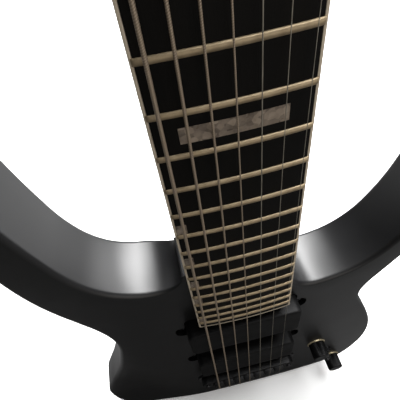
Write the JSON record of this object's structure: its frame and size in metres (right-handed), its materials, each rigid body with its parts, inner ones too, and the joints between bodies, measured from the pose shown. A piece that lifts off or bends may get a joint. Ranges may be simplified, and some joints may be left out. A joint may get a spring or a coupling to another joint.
{
  "type": "seven-string electric guitar",
  "caption": "Solid-body electric guitar with two long horns, set-through neck, bound fretboard, fixed bridge and rotating tuners; strings run from body to headstock.",
  "frame": {"origin": "on the centre line at the nut, on the plane where the fretboard is glued to the neck, where a hanger or a hand holds the neck", "axes": "+Z runs from the body to the headstock along the strings, the front with the strings faces -Y, the treble side is +X"},
  "size_m": [0.3019, 0.0688, 0.9342],
  "materials": {
    "body_finish": "satin black lacquer over wood",
    "neck_finish": "satin black lacquer over wood",
    "fretboard_wood": "oiled near-black wood with pressed-in frets",
    "binding_plastic": "cream, scraped",
    "nut_material": "moulded, black",
    "pearl": "mottled grey-brown pearl",
    "plain_steel": "bare metal",
    "wound_string": "round-wound",
    "plain_string": "plain drawn wire",
    "black_nickel": "dark plated metal, semi-gloss",
    "black_plastic": "fine satin",
    "pickup_plastic": "satin black cover",
    "battery_case": "plain grey"
  },
  "bodies": {
    "guitar": {"body": "body_finish", "neck": "neck_finish", "fretboard": "fretboard_wood", "board_binding": "binding_plastic", "nut": "nut_material", "twelfth_fret_inlay": "pearl", "truss_rod": "plain_steel", "truss_rod_cover": "black_plastic", "string_7": "wound_string", "string_6": "wound_string", "string_5": "wound_string", "string_4": "wound_string", "string_3": "plain_string", "string_2": "plain_string", "string_1": "plain_string", "tuner_housing_1": "black_nickel", "tuner_housing_2": "black_nickel", "tuner_housing_3": "black_nickel", "tuner_housing_4": "black_nickel", "tuner_housing_5": "black_nickel", "tuner_housing_6": "black_nickel", "tuner_housing_7": "black_nickel", "bridge": "black_nickel", "bridge_post_bass": "black_nickel", "bridge_post_treble": "black_nickel", "volume_pot": "plain_steel", "tone_pot": "plain_steel", "toggle_switch": "black_nickel", "output_jack": "black_nickel", "control_cover": "black_plastic", "battery": "battery_case", "strap_button_end": "black_nickel", "strap_button_horn": "black_nickel"},
    "tuner_post_1": {"tuner_post_1": "black_nickel"},
    "tuner_post_2": {"tuner_post_2": "black_nickel"},
    "tuner_post_3": {"tuner_post_3": "black_nickel"},
    "tuner_post_4": {"tuner_post_4": "black_nickel"},
    "tuner_post_5": {"tuner_post_5": "black_nickel"},
    "tuner_post_6": {"tuner_post_6": "black_nickel"},
    "tuner_post_7": {"tuner_post_7": "black_nickel"},
    "tuner_button_1": {"tuner_button_1": "black_nickel"},
    "tuner_button_2": {"tuner_button_2": "black_nickel"},
    "tuner_button_3": {"tuner_button_3": "black_nickel"},
    "tuner_button_4": {"tuner_button_4": "black_nickel"},
    "tuner_button_5": {"tuner_button_5": "black_nickel"},
    "tuner_button_6": {"tuner_button_6": "black_nickel"},
    "tuner_button_7": {"tuner_button_7": "black_nickel"},
    "saddle_1": {"saddle_1": "black_nickel"},
    "saddle_2": {"saddle_2": "black_nickel"},
    "saddle_3": {"saddle_3": "black_nickel"},
    "saddle_4": {"saddle_4": "black_nickel"},
    "saddle_5": {"saddle_5": "black_nickel"},
    "saddle_6": {"saddle_6": "black_nickel"},
    "saddle_7": {"saddle_7": "black_nickel"},
    "neck_pickup": {"neck_pickup": "pickup_plastic"},
    "bridge_pickup": {"bridge_pickup": "pickup_plastic"},
    "volume_knob": {"volume_knob": "black_nickel"},
    "tone_knob": {"tone_knob": "black_nickel"},
    "toggle_lever": {"toggle_lever": "black_nickel"}
  },
  "joints": [
    {"name": "tuner_button_turn_7", "type": "hinge", "parent": "guitar", "child": "tuner_button_7", "pos_m": [-0.0275, 0.02912, 0.04946], "axis": [-1, 0, 0], "continuous": true},
    {"name": "tuner_button_turn_6", "type": "hinge", "parent": "guitar", "child": "tuner_button_6", "pos_m": [-0.0275, 0.03561, 0.08284], "axis": [-1, 0, 0], "continuous": true},
    {"name": "tuner_button_turn_5", "type": "hinge", "parent": "guitar", "child": "tuner_button_5", "pos_m": [-0.0275, 0.04209, 0.11621], "axis": [-1, 0, 0], "continuous": true},
    {"name": "tuner_button_turn_4", "type": "hinge", "parent": "guitar", "child": "tuner_button_4", "pos_m": [-0.0275, 0.04858, 0.14959], "axis": [-1, 0, 0], "continuous": true},
    {"name": "tuner_button_turn_3", "type": "hinge", "parent": "guitar", "child": "tuner_button_3", "pos_m": [0.0275, 0.04438, 0.12799], "axis": [1, 0, 0], "continuous": true},
    {"name": "tuner_button_turn_2", "type": "hinge", "parent": "guitar", "child": "tuner_button_2", "pos_m": [0.0275, 0.03751, 0.09265], "axis": [1, 0, 0], "continuous": true},
    {"name": "tuner_button_turn_1", "type": "hinge", "parent": "guitar", "child": "tuner_button_1", "pos_m": [0.0275, 0.03064, 0.05731], "axis": [1, 0, 0], "continuous": true},
    {"name": "tuner_post_turn_7", "type": "hinge", "parent": "guitar", "child": "tuner_post_7", "pos_m": [-0.0275, 0.00801, 0.04623], "axis": [0, -0.9816, 0.1908], "continuous": true},
    {"name": "tuner_post_turn_6", "type": "hinge", "parent": "guitar", "child": "tuner_post_6", "pos_m": [-0.0275, 0.0145, 0.0796], "axis": [0, -0.9816, 0.1908], "continuous": true},
    {"name": "tuner_post_turn_5", "type": "hinge", "parent": "guitar", "child": "tuner_post_5", "pos_m": [-0.0275, 0.02099, 0.11298], "axis": [0, -0.9816, 0.1908], "continuous": true},
    {"name": "tuner_post_turn_4", "type": "hinge", "parent": "guitar", "child": "tuner_post_4", "pos_m": [-0.0275, 0.02748, 0.14635], "axis": [0, -0.9816, 0.1908], "continuous": true},
    {"name": "tuner_post_turn_3", "type": "hinge", "parent": "guitar", "child": "tuner_post_3", "pos_m": [0.0275, 0.02328, 0.12476], "axis": [0, -0.9816, 0.1908], "continuous": true},
    {"name": "tuner_post_turn_2", "type": "hinge", "parent": "guitar", "child": "tuner_post_2", "pos_m": [0.0275, 0.01641, 0.08942], "axis": [0, -0.9816, 0.1908], "continuous": true},
    {"name": "tuner_post_turn_1", "type": "hinge", "parent": "guitar", "child": "tuner_post_1", "pos_m": [0.0275, 0.00954, 0.05408], "axis": [0, -0.9816, 0.1908], "continuous": true},
    {"name": "saddle_slide_7", "type": "slide", "parent": "guitar", "child": "saddle_7", "axis": [0, 0, 1], "range_m": [-0.0016, 0.0041]},
    {"name": "saddle_slide_6", "type": "slide", "parent": "guitar", "child": "saddle_6", "axis": [0, 0, 1], "range_m": [-0.0023, 0.0034]},
    {"name": "saddle_slide_5", "type": "slide", "parent": "guitar", "child": "saddle_5", "axis": [0, 0, 1], "range_m": [-0.0028, 0.0029]},
    {"name": "saddle_slide_4", "type": "slide", "parent": "guitar", "child": "saddle_4", "axis": [0, 0, 1], "range_m": [-0.0033, 0.0024]},
    {"name": "saddle_slide_3", "type": "slide", "parent": "guitar", "child": "saddle_3", "axis": [0, 0, 1], "range_m": [-0.0038, 0.0019]},
    {"name": "saddle_slide_2", "type": "slide", "parent": "guitar", "child": "saddle_2", "axis": [0, 0, 1], "range_m": [-0.004, 0.0017]},
    {"name": "saddle_slide_1", "type": "slide", "parent": "guitar", "child": "saddle_1", "axis": [0, 0, 1], "range_m": [-0.0042, 0.0015]},
    {"name": "neck_pickup_height", "type": "slide", "parent": "guitar", "child": "neck_pickup", "axis": [0, -1, 0], "range_m": [-0.0015, 0.0015]},
    {"name": "bridge_pickup_height", "type": "slide", "parent": "guitar", "child": "bridge_pickup", "axis": [0, -1, 0], "range_m": [-0.0015, 0.0015]},
    {"name": "volume_turn", "type": "hinge", "parent": "guitar", "child": "volume_knob", "pos_m": [0.079, 0.0055, -0.651], "axis": [0, -1, 0], "range_deg": [-150, 150]},
    {"name": "tone_turn", "type": "hinge", "parent": "guitar", "child": "tone_knob", "pos_m": [0.1055, 0.0055, -0.716], "axis": [0, -1, 0], "range_deg": [-150, 150]},
    {"name": "toggle_flip", "type": "hinge", "parent": "guitar", "child": "toggle_lever", "pos_m": [0.092, 0.0085, -0.683], "axis": [1, 0, 0], "range_deg": [-14, 14]}
  ],
  "couplings": [
    {"joint": "tuner_post_turn_7", "follows": "tuner_button_turn_7", "ratio": 0.066667},
    {"joint": "tuner_post_turn_6", "follows": "tuner_button_turn_6", "ratio": 0.066667},
    {"joint": "tuner_post_turn_5", "follows": "tuner_button_turn_5", "ratio": 0.066667},
    {"joint": "tuner_post_turn_4", "follows": "tuner_button_turn_4", "ratio": 0.066667},
    {"joint": "tuner_post_turn_3", "follows": "tuner_button_turn_3", "ratio": 0.066667},
    {"joint": "tuner_post_turn_2", "follows": "tuner_button_turn_2", "ratio": 0.066667},
    {"joint": "tuner_post_turn_1", "follows": "tuner_button_turn_1", "ratio": 0.066667}
  ]
}
